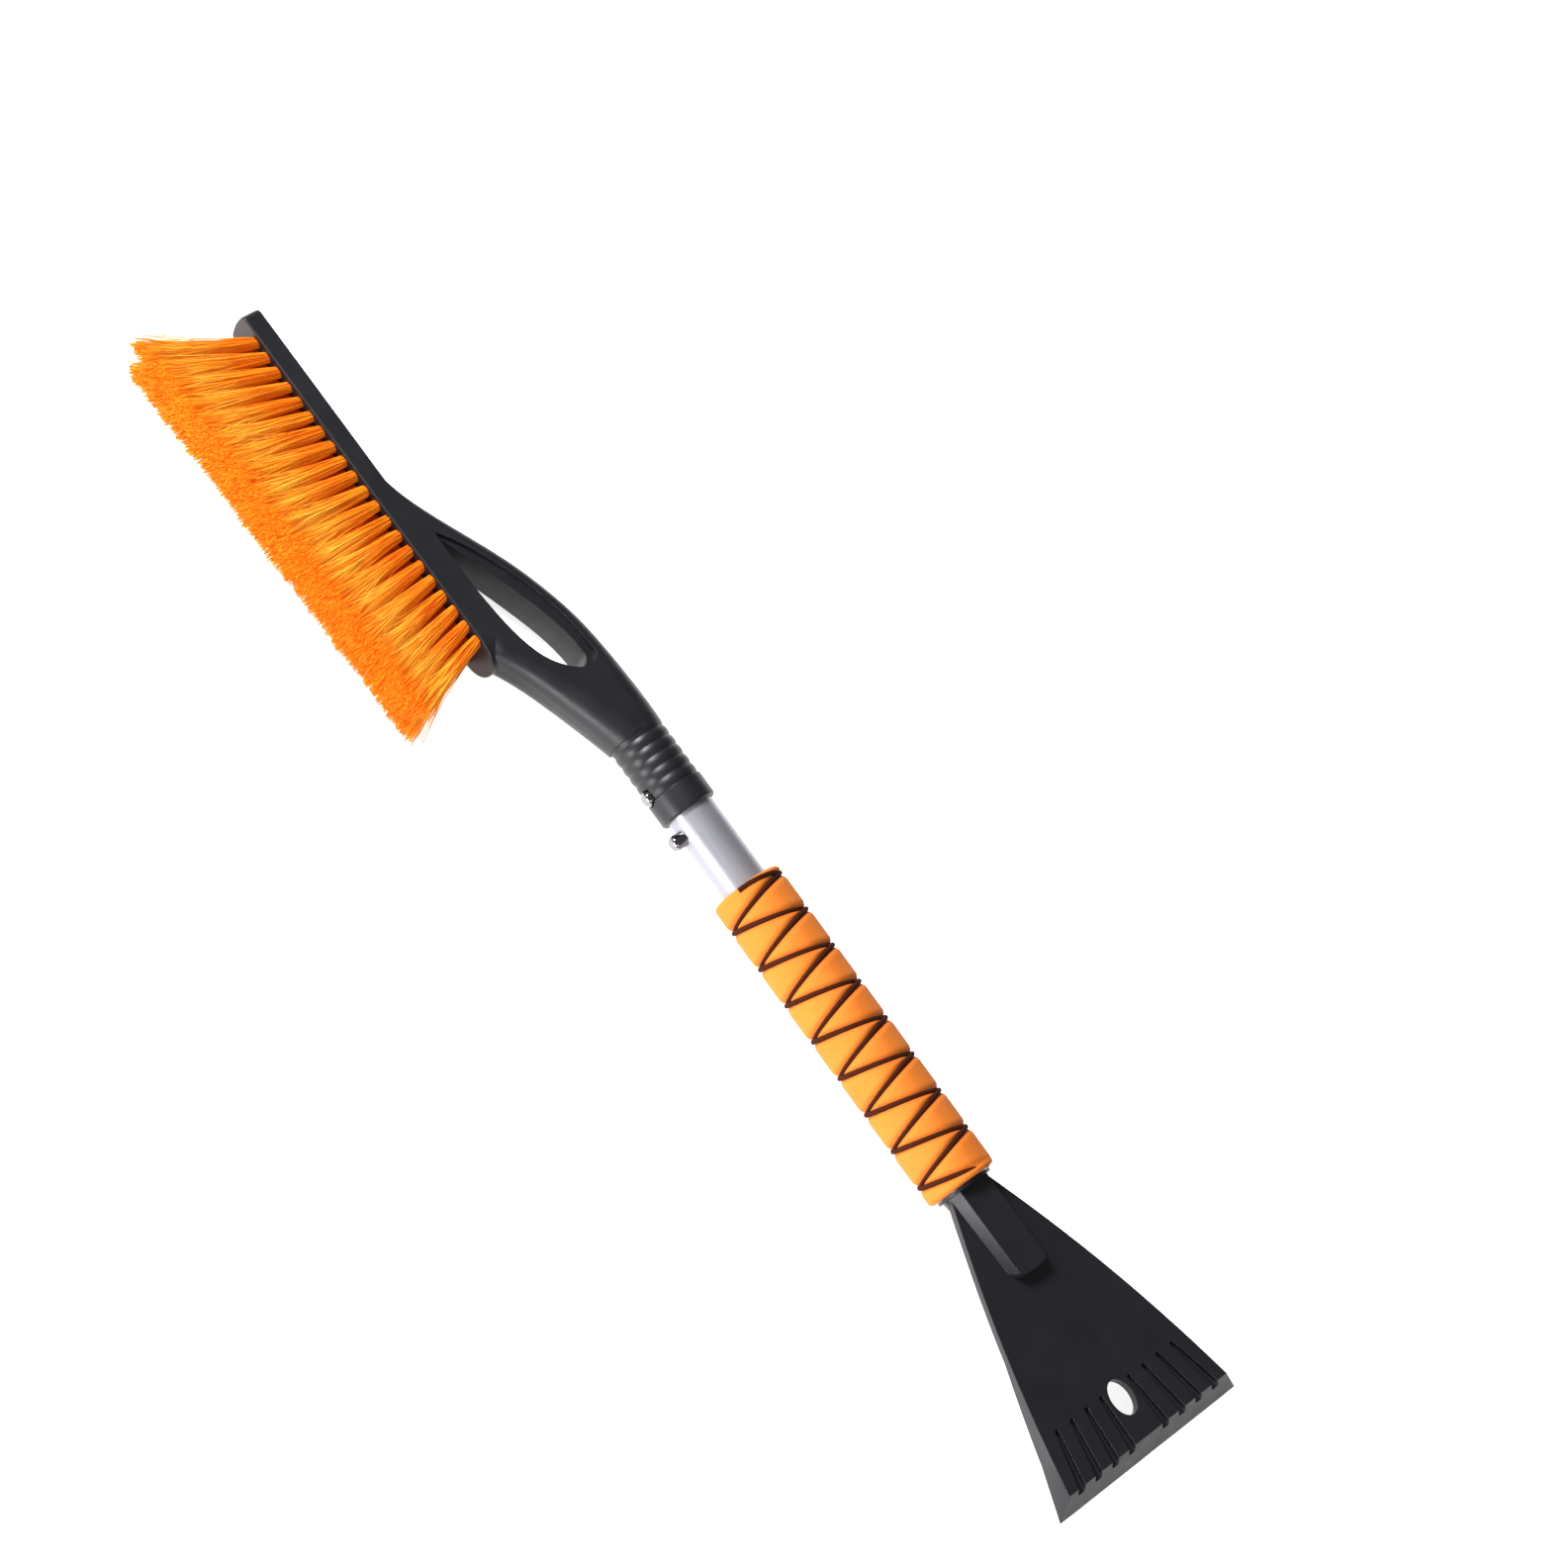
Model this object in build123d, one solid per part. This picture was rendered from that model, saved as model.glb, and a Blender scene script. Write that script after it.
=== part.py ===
from build123d import *
import os

# Snow brush and ice scraper on a short aluminium handle, lying on its side.
# X runs along the tube towards the scraper and starts at the mouth of the brush head's collar.
# The bristles point towards -Y, and the scraper's face looks towards +Z. All sizes are in mm.

# ---- driving dimensions -------------------------------------------------------------
# tube
TUBE_RADIUS = 12.2
TUBE_WALL = 1.1
TUBE_TOP_X = -38.0
TUBE_END_X = 220.0
RUNNING_GAP = 0.08

# brush head
BLOCK_TIP_X = -317.5
BLOCK_TIP_BULGE = 1.6
BLOCK_END_X = -106.0
BLOCK_BACK_Y = -34.4
BLOCK_FACE_Y = -44.4
BLOCK_HALF_TIP = 10.5
BLOCK_TIP_RADIUS = 3.5
BLOCK_END_RADIUS = 13.0
BLOCK_EDGE_RADIUS = 0.8
ARM_HALF = 13.5
ARM_SHARP = 0.7
ARM_ROUND = 6.5
HEEL_X = -110
HEEL_RADIUS = 12.6
NECK_ROUND = 13.2
HOLE_LEDGE_Z = 10.0
COLLAR_RADIUS = 14.6
COLLAR_START_X = -47.0
RINGS = 6
RING_PITCH = 5.65
RING_STEP = 0.65
RING_CREST = 0.6
BAND_RADIUS = 15.0
BAND_STEP = 0.5
MOUTH_RADIUS = 1.5
BORE_END_X = -64.0

# tufts
TUFTS_PER_ROW = 21
FIRST_TUFT_X = -302.0
TUFT_PITCH = 8.97
TUFT_RADIUS = 2.9
TUFT_HOLE_DEPTH = 7.4
ROW_Z_TIP = 4.6
ROW_Z_END = 9.2
BRUSH_TIP_START_X = -324.0
BRUSH_TIP_END_X = -102.0
TIP_Y_START = -99.0
TIP_Y_END = -92.0
FAN_HALF_START = 15.8
FAN_HALF_END = 18.6
TUFT_TIP_GAP = 0.35
ANCHOR_SIZE = (4.6, 0.5, 1.6)

# lock buttons and their springs
BUTTON_RADIUS = 3.9
BUTTON_HOLE_RADIUS = 4.0
COLLAR_HOLE_RADIUS = 4.4
UPPER_BUTTON_X = -15.5
LOWER_BUTTON_X = 9.5
UPPER_BUTTON_REACH = 17.0
LOWER_BUTTON_REACH = 19.3
BUTTON_FLANGE_RADIUS = 5.0
BUTTON_FLANGE_BOTTOM = 9.0
BUTTON_FLANGE_TOP = 9.8
BUTTON_DOME = 2.15
SPRING_THICKNESS = 0.6
SPRING_WIDTH = 6.0
SPRING_OVERHANG = 4.5
SPRING_FOOT_Y = 10.2
SPRING_BEND_HALF = 2.6
SPRING_BEND_RADIUS = 2.0
UPPER_SPRING_BEND_X = -36.0
LOWER_SPRING_BEND_X = 35.5

# grip
FOAM_START_X = 45.0
FOAM_END_X = 219.6
FOAM_RADIUS = 18.6
FOAM_EDGE_RADIUS = 2.2
CORD_RADIUS = 0.85
CORD_TURNS = 7.92
CORD_PITCH = 21.3
CORD_START_X = 49.3
CORD_START_ANGLE = 30.0
CORD_COIL_RADIUS = 17.9

# scraper
FLANGE_RADIUS = 14.85
FLANGE_THICKNESS = 1.6
SPIGOT_LENGTH = 38.0
FACE_Z = 3.5
PLATE_THICKNESS = 4.5
FACE_FRONT_X = 364.0
EDGE_X = 372.0
EDGE_Z = -8.0
EDGE_HALF = 60.0
FACE_FRONT_HALF = 53.8
WALL = 3.5
WALL_START_X = 298.0
CHEEK_START_X = 345.0
CHEEK_START_HALF = 49.7
FRONT_THICKNESS = (6.0, 3.0)
BOSS_END_X = 271.0
BOSS_END_RADIUS = 6.5
BOSS_FLOOR_Z = -2.0
BOSS_TOP_Z = 9.6
BOSS_TOP_HALF = 8.8
BOSS_FOOT_HALF = (12.4, 10.2)
HOLE_X = 343.0
HOLE_LENGTH = 18.6
HOLE_WIDTH = 12.4
GROOVES_PER_SIDE = 4
GROOVE_START_X = 336.5
GROOVE_END_X = 368.0
GROOVE_START_HALF = (9.5, 38.9)
GROOVE_END_HALF = (11.6, 46.2)
GROOVE_START_SIZE = (1.0, 2.3)
GROOVE_END_SIZE = (2.3, 3.4)
GROOVE_ROUND = 0.4
CONE_RADII = (12.9, 6.0)
RIVET_X = 200.0
RIVET_RADIUS = 2.4
RIVET_LENGTH = 11.9

os.makedirs("parts", exist_ok=True)


def save(shape, node):
    """Write one sub-part to its STEP file."""
    export_step(shape, f"parts/{node}.step")


def mix(start, end, share):
    """Linear interpolation."""
    return start + (end - start) * share


def cylinder_x(radius, x_start, x_end):
    """Round bar along the tube's axis."""
    return extrude(Plane.YZ.offset(x_start) * Circle(radius), x_end - x_start)


def cylinder_out(radius, x, reach_start, reach_end):
    """Round bar that points towards the bristle side, from one distance off the axis to another."""
    plane = Plane(origin=(x, -reach_start, 0), x_dir=(1, 0, 0), z_dir=(0, -1, 0))
    return extrude(plane * Circle(radius), reach_end - reach_start)


def half_width(x):
    """Half the brush head's thickness at a place along the block and the arm."""
    share = (x - BLOCK_TIP_X) / (BLOCK_END_X - BLOCK_TIP_X)
    return mix(BLOCK_HALF_TIP, ARM_HALF, min(max(share, 0), 1))


# ---- brush head ----------------------------------------------------------------------
# Outline of the arm and the neck between the block and the collar, as (x, bristle side y, back y).
# Over the hand hole its bristle side lies inside the block.
ARM_OUTLINE = [
    (-222, -42.4, -35.2), (-210, -42.4, -33.6), (-199, -42.4, -29.8), (-186, -42.4, -23.6),
    (-170, -42.4, -14.9), (-152, -42.4, -6.2), (-136, -42.4, 0.2), (-124, -42.4, 4.0),
    (HEEL_X, -42.6, 7.5),
    (-98, -35.6, 9.9), (-80, -28.0, 12.2), (-62, -21.5, 13.7), (-44, -15.6, 14.2),
]


def share_of(x, start, end):
    """How far x has come from start to end, kept between 0 and 1."""
    return min(max((x - start) / (end - start), 0), 1)


def arm_section(x, front, back):
    """Rounded cross-section of the arm or the neck, square to the tube."""
    grown = share_of(x, ARM_OUTLINE[0][0], ARM_OUTLINE[4][0])
    heel = share_of(x, ARM_OUTLINE[5][0], HEEL_X)
    neck = share_of(x, HEEL_X, ARM_OUTLINE[-1][0])
    half = mix(half_width(x), COLLAR_RADIUS - 0.2, neck)
    front_radius = mix(mix(ARM_SHARP, HEEL_RADIUS, heel), NECK_ROUND, neck)
    back_radius = mix(mix(ARM_SHARP, ARM_ROUND, grown), NECK_ROUND, neck)
    with BuildSketch(Plane.YZ.offset(x)) as section:
        with Locations(((front + back) / 2, 0)):
            Rectangle(back - front, 2 * half)
        fillet(section.vertices().sort_by(Axis.Y)[:2], front_radius)
        fillet(section.vertices().sort_by(Axis.Y)[-2:], back_radius)
    return section.sketch


def arm_solid():
    """The strap over the hand hole and the neck, which meet at the heel behind the last tufts."""
    sections = [arm_section(*row) for row in ARM_OUTLINE]
    heel = [row[0] for row in ARM_OUTLINE].index(HEEL_X)
    return loft(sections[:heel + 1]) + loft(sections[heel:])


def block_solid():
    """The straight bar that holds the tufts. Its free end bulges slightly, its heel end is round."""
    corner_x = BLOCK_TIP_X + BLOCK_TIP_BULGE
    sides = Polyline(
        (corner_x, BLOCK_HALF_TIP),
        (BLOCK_END_X, ARM_HALF),
        (BLOCK_END_X, -ARM_HALF),
        (corner_x, -BLOCK_HALF_TIP),
    )
    tip = ThreePointArc((corner_x, -BLOCK_HALF_TIP), (BLOCK_TIP_X, 0), (corner_x, BLOCK_HALF_TIP))
    plane = Plane(origin=(0, BLOCK_FACE_Y, 0), x_dir=(1, 0, 0), z_dir=(0, -1, 0))
    bar = extrude(plane * make_face([*sides.edges(), tip]), BLOCK_FACE_Y - BLOCK_BACK_Y)
    bar = fillet(bar.edges().filter_by(Axis.Y).sort_by(Axis.X)[:2], BLOCK_TIP_RADIUS)
    bar = fillet(bar.edges().filter_by(Axis.Y).sort_by(Axis.X)[-2:], BLOCK_END_RADIUS)
    rim = bar.faces().sort_by(Axis.Y)[0].edges() + bar.faces().sort_by(Axis.Y)[-1].edges()
    return fillet(rim, BLOCK_EDGE_RADIUS)


# Outlines of the hand hole, as (x, y): the part cut right through, and the wider mouth on each side
# of it. Both end in the same lower edge.
HOLE_TIP = (-177, -30)
HOLE_LOW_END = (-84, -8.5)
HOLE_LOWER = [
    HOLE_LOW_END, (-88, -14.2), (-97, -21.4), (-109, -25.9), (-127, -28.9), (-152, -30.3), HOLE_TIP,
]
HOLE_THROUGH = (
    [HOLE_TIP, (-160, -22.5), (-145, -16), (-132, -11), (-113, -4.6), (-100, -1.8), (-92, -1.2)],
    [(-92, -1.2), (-87.3, -2.2), (-84.7, -5.2), HOLE_LOW_END],
)
HOLE_MOUTH = (
    [HOLE_TIP, (-162, -19.1), (-144.5, -10.5), (-129.8, -4.6), (-118.3, -1.4), (-100.2, 1.9), (-89.1, 2.8)],
    [(-89.1, 2.8), (-85.5, 1.2), (-83.5, -3), HOLE_LOW_END],
)


def hole_face(outline):
    """A flat face from a hand hole outline."""
    upper, end = outline
    return make_face([Spline(*upper), Spline(*end), Spline(*HOLE_LOWER)])


def hand_hole():
    """The hand hole between the arm and the block, with a ledge under the strap on both sides."""
    cut = extrude(hole_face(HOLE_THROUGH), 2 * ARM_HALF, both=True)
    mouth = Pos(0, 0, HOLE_LEDGE_Z) * extrude(hole_face(HOLE_MOUTH), ARM_HALF)
    return [cut, mouth, mirror(mouth, Plane.XY)]


def collar_face():
    """Half section of the collar, to be turned about the tube's axis: rounded rings, then a plain band."""
    low = COLLAR_RADIUS - RING_STEP
    edges = [Line((COLLAR_START_X, 0), (COLLAR_START_X, low))]
    for ring in range(RINGS):
        x = COLLAR_START_X + ring * RING_PITCH
        crest = (x + RING_CREST * RING_PITCH, COLLAR_RADIUS)
        edges.append(ThreePointArc((x, low), crest, (x + RING_PITCH, low)))
    band_x = COLLAR_START_X + RINGS * RING_PITCH
    lip = (BAND_RADIUS - MOUTH_RADIUS) * Vector(0, 1)
    edges += Polyline((band_x, low), (band_x + BAND_STEP, BAND_RADIUS), (-MOUTH_RADIUS, BAND_RADIUS)).edges()
    edges.append(TangentArc((-MOUTH_RADIUS, BAND_RADIUS), lip, tangent=(1, 0)))
    edges += Polyline(lip, (0, 0), (COLLAR_START_X, 0)).edges()
    return make_face(edges)


def tuft_base(row, index):
    """Where a tuft leaves the block's face, as (x, z). The middle row is half a pitch along."""
    x = FIRST_TUFT_X + index * TUFT_PITCH
    if row == 0:
        x += TUFT_PITCH / 2
    share = (x - BLOCK_TIP_X) / (BLOCK_END_X - BLOCK_TIP_X)
    return x, row * mix(ROW_Z_TIP, ROW_Z_END, share)


def row_length(row):
    """Tufts in a row: the middle row has one fewer, between the others."""
    return TUFTS_PER_ROW - 1 if row == 0 else TUFTS_PER_ROW


ROWS = {"near": 1, "middle": 0, "far": -1}

head = block_solid() + arm_solid()
head += revolve(collar_face(), Axis.X)
head -= hand_hole()
head -= cylinder_x(TUBE_RADIUS + RUNNING_GAP, BORE_END_X, 1)
head -= cylinder_out(COLLAR_HOLE_RADIUS, UPPER_BUTTON_X, 8, 20)
tuft_holes = []
for row in ROWS.values():
    for index in range(row_length(row)):
        x, z = tuft_base(row, index)
        plane = Plane(origin=(x, BLOCK_FACE_Y - 1, z), x_dir=(1, 0, 0), z_dir=(0, 1, 0))
        tuft_holes.append(extrude(plane * Circle(TUFT_RADIUS), TUFT_HOLE_DEPTH + 1))
head -= tuft_holes
save(head, "brush_head")


# ---- tufts and their anchors ------------------------------------------------------------
def tuft(row, index):
    """One bundle of filaments: round where it leaves the block, wide and flat-ended at its tips."""
    x, z = tuft_base(row, index)
    hole_floor = BLOCK_FACE_Y + TUFT_HOLE_DEPTH
    first_x = tuft_base(row, 0)[0]
    last_x = tuft_base(row, row_length(row) - 1)[0]
    stretch = (BRUSH_TIP_END_X - BRUSH_TIP_START_X) / (TUFTS_PER_ROW * TUFT_PITCH)
    tip_pitch = TUFT_PITCH * stretch
    middle = (BRUSH_TIP_START_X + BRUSH_TIP_END_X) / 2
    tip_x = middle + (x - (first_x + last_x) / 2) * stretch
    share = (tip_x - BRUSH_TIP_START_X) / (BRUSH_TIP_END_X - BRUSH_TIP_START_X)
    fan = mix(FAN_HALF_START, FAN_HALF_END, share)
    tip_y = mix(TIP_Y_START, TIP_Y_END, share)
    tip_z = row * fan * 2 / 3
    root = Plane(origin=(x, hole_floor - ANCHOR_SIZE[1], z), x_dir=(1, 0, 0), z_dir=(0, -1, 0))
    mouth = Plane(origin=(x, BLOCK_FACE_Y - 1.5, z), x_dir=(1, 0, 0), z_dir=(0, -1, 0))
    tip = Plane(origin=(tip_x, tip_y, tip_z), x_dir=(1, 0, 0), z_dir=(0, -1, 0))
    stem = extrude(root * Circle(TUFT_RADIUS), root.origin.Y - mouth.origin.Y)
    wide = Ellipse(tip_pitch / 2 - TUFT_TIP_GAP / 2, fan / 3 - TUFT_TIP_GAP / 2)
    return stem + loft([mouth * Circle(TUFT_RADIUS), tip * wide])


def anchor(row, index):
    """The flat wire across the floor of a tuft's hole, which holds the folded filaments."""
    x, z = tuft_base(row, index)
    length, thickness, width = ANCHOR_SIZE
    y = BLOCK_FACE_Y + TUFT_HOLE_DEPTH - thickness / 2
    return Pos(x, y, z) * Box(length, thickness, width)


for name, row in ROWS.items():
    count = row_length(row)
    save(Compound(children=[tuft(row, index) for index in range(count)]), f"{name}_tuft_row")
    save(Compound(children=[anchor(row, index) for index in range(count)]), f"{name}_tuft_anchors")


# ---- tube, lock buttons and springs --------------------------------------------------
tube = cylinder_x(TUBE_RADIUS, TUBE_TOP_X, TUBE_END_X)
tube -= cylinder_x(TUBE_RADIUS - TUBE_WALL, TUBE_TOP_X - 1, TUBE_END_X + 1)
for x in (UPPER_BUTTON_X, LOWER_BUTTON_X):
    tube -= cylinder_out(BUTTON_HOLE_RADIUS, x, 5, 20)
rivet_axis = Plane(origin=(RIVET_X, 0, 0), x_dir=(1, 0, 0), z_dir=(0, 0, -1))
rivet_bore = extrude(rivet_axis * Circle(RIVET_RADIUS), FOAM_RADIUS)
tube -= rivet_bore
save(tube, "handle_tube")


def lock_button(x, reach):
    """A domed pin with a flange that stops against the inside of the tube."""
    shape = cylinder_out(BUTTON_FLANGE_RADIUS, x, BUTTON_FLANGE_BOTTOM, BUTTON_FLANGE_TOP)
    shape += cylinder_out(BUTTON_RADIUS, x, BUTTON_FLANGE_BOTTOM, reach)
    return fillet(shape.edges().sort_by(Axis.Y)[0], BUTTON_DOME)


def button_spring(x, bend_x):
    """A flat strip folded into a V: one leg under the button, the other on the far wall."""
    side = 1 if bend_x > x else -1
    leg_y = SPRING_THICKNESS / 2 - BUTTON_FLANGE_BOTTOM
    route = FilletPolyline(
        (x - side * SPRING_OVERHANG, leg_y),
        (x + side * SPRING_OVERHANG, leg_y),
        (bend_x, -SPRING_BEND_HALF),
        (bend_x, SPRING_BEND_HALF),
        (x + side * SPRING_OVERHANG, SPRING_FOOT_Y),
        (x - side * SPRING_OVERHANG / 2, SPRING_FOOT_Y),
        radius=SPRING_BEND_RADIUS,
    )
    return extrude(trace(route, line_width=SPRING_THICKNESS), SPRING_WIDTH / 2, both=True)


save(lock_button(UPPER_BUTTON_X, UPPER_BUTTON_REACH), "upper_lock_button")
save(lock_button(LOWER_BUTTON_X, LOWER_BUTTON_REACH), "lower_lock_button")
save(button_spring(UPPER_BUTTON_X, UPPER_SPRING_BEND_X), "upper_button_spring")
save(button_spring(LOWER_BUTTON_X, LOWER_SPRING_BEND_X), "lower_button_spring")


# ---- grip ------------------------------------------------------------------------------
foam = cylinder_x(FOAM_RADIUS, FOAM_START_X, FOAM_END_X)
foam = fillet(foam.edges(), FOAM_EDGE_RADIUS)
foam -= cylinder_x(TUBE_RADIUS, FOAM_START_X - 1, FOAM_END_X + 1)
save(foam, "foam_grip")


def grip_cord(left_hand):
    """A cord wound round the foam. The two cords wind opposite ways and cross twice a turn."""
    route = Helix(CORD_PITCH, CORD_TURNS * CORD_PITCH, CORD_COIL_RADIUS, lefthand=left_hand)
    start = Plane(origin=route @ 0, z_dir=route % 0)
    cord = sweep(start * Circle(CORD_RADIUS), path=route)
    along_tube = Rotation(0, 90, 0) * cord
    return Pos(CORD_START_X, 0, 0) * Rotation(90 + CORD_START_ANGLE, 0, 0) * along_tube


save(grip_cord(False), "right_hand_cord")
save(grip_cord(True), "left_hand_cord")


# ---- scraper ---------------------------------------------------------------------------
SIDE_CURVE = [(221.6, 11.6), (246, 20.9), (282, 33.1), (318, 43.3), (FACE_FRONT_X, FACE_FRONT_HALF)]


def face_outline(inset):
    """Outline of the scraper's face, narrow at the handle and wide at the front."""
    right = Spline(*[(x, y - inset) for x, y in SIDE_CURVE])
    left = Spline(*[(x, inset - y) for x, y in SIDE_CURVE])
    front = Line(right @ 1, left @ 1)
    rear = Line(left @ 0, right @ 0)
    return make_face([right, front, left, rear])


def side_walls():
    """Walls under the plate's long edges, which get deeper towards the front."""
    ring = Pos(0, 0, EDGE_Z) * (face_outline(0) - face_outline(WALL))
    walls = extrude(ring, FACE_Z - EDGE_Z)
    side_view = Polyline(
        (WALL_START_X, FACE_Z - PLATE_THICKNESS),
        (CHEEK_START_X, EDGE_Z),
        (CHEEK_START_X, FACE_Z),
        (WALL_START_X, FACE_Z),
        close=True,
    )
    return walls & extrude(Plane.XZ * make_face(side_view), EDGE_HALF, both=True)


def cheek(side):
    """The flared corner between the side wall and the scraping edge."""
    inner = side * WALL
    upper = Polyline(
        (CHEEK_START_X, side * CHEEK_START_HALF, FACE_Z),
        (FACE_FRONT_X, side * FACE_FRONT_HALF, FACE_Z),
        (FACE_FRONT_X, side * FACE_FRONT_HALF - inner, FACE_Z),
        (CHEEK_START_X, side * CHEEK_START_HALF - inner, FACE_Z),
        close=True,
    )
    lower = Polyline(
        (CHEEK_START_X, side * CHEEK_START_HALF, EDGE_Z),
        (EDGE_X, side * EDGE_HALF, EDGE_Z),
        (EDGE_X, side * EDGE_HALF - inner, EDGE_Z),
        (CHEEK_START_X, side * CHEEK_START_HALF - inner, EDGE_Z),
        close=True,
    )
    return loft([make_face(lower), make_face(upper)], ruled=True)


def lip_layer(front_x, front_half, thickness, z):
    """Level outline of the front strip, with ends that follow the flared corners."""
    rear_half = mix(front_half, CHEEK_START_HALF, thickness / (front_x - CHEEK_START_X))
    right = [(front_x - thickness, rear_half), (front_x, front_half)]
    left = [(x, -y) for x, y in reversed(right)]
    return Pos(0, 0, z) * make_face(Polyline(*right, *left, close=True))


def front_lip():
    """The steep strip from the face down to the scraping edge."""
    top, bottom = FRONT_THICKNESS
    upper = lip_layer(FACE_FRONT_X, FACE_FRONT_HALF, top, FACE_Z)
    lower = lip_layer(EDGE_X, EDGE_HALF, bottom, EDGE_Z)
    return loft([lower, upper], ruled=True)


def boss_section(x, foot_half):
    """Flat-topped section with bevelled sides, square to the tube."""
    right = [(BOSS_TOP_HALF, BOSS_TOP_Z), (foot_half, FACE_Z), (foot_half, BOSS_FLOOR_Z)]
    left = [(-y, z) for y, z in reversed(right)]
    return Plane.YZ.offset(x) * make_face(Polyline(*right, *left, close=True))


def boss():
    """The raised rib behind the flange, with rounded corners at its end."""
    start_half, end_half = BOSS_FOOT_HALF
    rib = loft([boss_section(TUBE_END_X + 1, start_half), boss_section(BOSS_END_X, end_half)], ruled=True)
    right_side = [(TUBE_END_X, start_half), (BOSS_END_X, end_half)]
    left_side = [(x, -y) for x, y in reversed(right_side)]
    plan = make_face(Polyline(*right_side, *left_side, close=True))
    plan = fillet(plan.vertices().sort_by(Axis.X)[-2:], BOSS_END_RADIUS)
    return rib & extrude(plan, 2 * FLANGE_RADIUS, both=True)


def groove_section(half, depth):
    """A channel's section: as deep again above the face, with a rounded floor. Its up is local X."""
    section = Rectangle(2 * depth, 2 * half)
    return fillet(section.vertices().sort_by(Axis.X)[:2], GROOVE_ROUND * half)


def groove(side, number):
    """A channel in the face that widens and deepens towards the scraping edge."""
    share = number / (GROOVES_PER_SIDE - 1)
    start_y = side * mix(*GROOVE_START_HALF, share)
    end_y = side * mix(*GROOVE_END_HALF, share)
    along = (GROOVE_END_X - GROOVE_START_X, end_y - start_y, 0)
    rear = Plane(origin=(GROOVE_START_X, start_y, FACE_Z), x_dir=(0, 0, 1), z_dir=along)
    front = Plane(origin=(GROOVE_END_X, end_y, FACE_Z), x_dir=(0, 0, 1), z_dir=along)
    sections = [rear * groove_section(*GROOVE_START_SIZE), front * groove_section(*GROOVE_END_SIZE)]
    return loft(sections, ruled=True)


scraper = extrude(Pos(0, 0, FACE_Z - PLATE_THICKNESS) * face_outline(0), PLATE_THICKNESS)
scraper += side_walls()
scraper += [cheek(1), cheek(-1)]
scraper += front_lip()
scraper += boss()
cone_start = Plane.YZ.offset(TUBE_END_X + 1) * Circle(CONE_RADII[0])
under_cone = loft([cone_start, Plane.YZ.offset(BOSS_END_X) * Circle(CONE_RADII[1])], ruled=True)
scraper += split(under_cone, Plane.XY, keep=Keep.BOTTOM)
scraper += cylinder_x(FLANGE_RADIUS, TUBE_END_X, TUBE_END_X + FLANGE_THICKNESS)
scraper += cylinder_x(TUBE_RADIUS - TUBE_WALL, TUBE_END_X - SPIGOT_LENGTH, TUBE_END_X + 1)
scraper -= extrude(Pos(HOLE_X, 0) * Ellipse(HOLE_LENGTH / 2, HOLE_WIDTH / 2), FLANGE_RADIUS, both=True)
scraper -= [groove(side, number) for side in (1, -1) for number in range(GROOVES_PER_SIDE)]
scraper -= rivet_bore
save(scraper, "scraper_head")

save(extrude(rivet_axis * Circle(RIVET_RADIUS), RIVET_LENGTH), "scraper_rivet")
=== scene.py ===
import math

import bpy
import numpy as np
from mathutils import Matrix, Vector


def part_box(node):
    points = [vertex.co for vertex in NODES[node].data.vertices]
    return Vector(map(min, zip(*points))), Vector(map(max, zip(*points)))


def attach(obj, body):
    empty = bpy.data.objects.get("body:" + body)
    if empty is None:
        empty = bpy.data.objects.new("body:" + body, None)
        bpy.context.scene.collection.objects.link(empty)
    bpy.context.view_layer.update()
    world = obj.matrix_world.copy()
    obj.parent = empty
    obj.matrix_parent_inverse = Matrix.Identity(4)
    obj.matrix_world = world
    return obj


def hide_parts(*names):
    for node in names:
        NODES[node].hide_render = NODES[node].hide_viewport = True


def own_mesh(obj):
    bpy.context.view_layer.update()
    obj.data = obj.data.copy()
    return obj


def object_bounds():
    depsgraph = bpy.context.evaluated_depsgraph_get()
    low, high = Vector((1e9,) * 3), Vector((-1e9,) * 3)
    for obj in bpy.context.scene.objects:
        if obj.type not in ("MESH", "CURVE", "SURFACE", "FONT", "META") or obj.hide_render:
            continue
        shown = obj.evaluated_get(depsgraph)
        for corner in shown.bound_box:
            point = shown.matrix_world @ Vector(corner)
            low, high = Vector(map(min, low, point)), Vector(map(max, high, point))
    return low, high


# A snow brush with an ice scraper, lying on its side. X runs along the tube towards the scraper,
# the bristles point towards -Y, and the scraper's face looks up. The object's lengths are in
# millimetres, and are scaled by MM where they reach Blender.
MM = 0.001

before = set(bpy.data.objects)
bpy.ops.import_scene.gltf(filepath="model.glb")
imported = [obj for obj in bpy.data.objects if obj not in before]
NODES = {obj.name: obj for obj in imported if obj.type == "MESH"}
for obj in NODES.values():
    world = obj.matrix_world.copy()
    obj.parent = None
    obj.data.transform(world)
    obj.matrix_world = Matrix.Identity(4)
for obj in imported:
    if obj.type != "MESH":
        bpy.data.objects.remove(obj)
CAD_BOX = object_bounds()
RANDOM = np.random.default_rng(27)


# ---- small tools ---------------------------------------------------------------------------
def mix(start, end, share):
    """Linear interpolation, for numbers and arrays."""
    return start + (end - start) * share


def smooth(share):
    """Ease from 0 to 1."""
    share = np.clip(share, 0, 1)
    return share * share * (3 - 2 * share)


def ramp(value, start, length):
    """Ease from 0 to 1 while value goes from start over length."""
    return smooth((value - start) / length)


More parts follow.
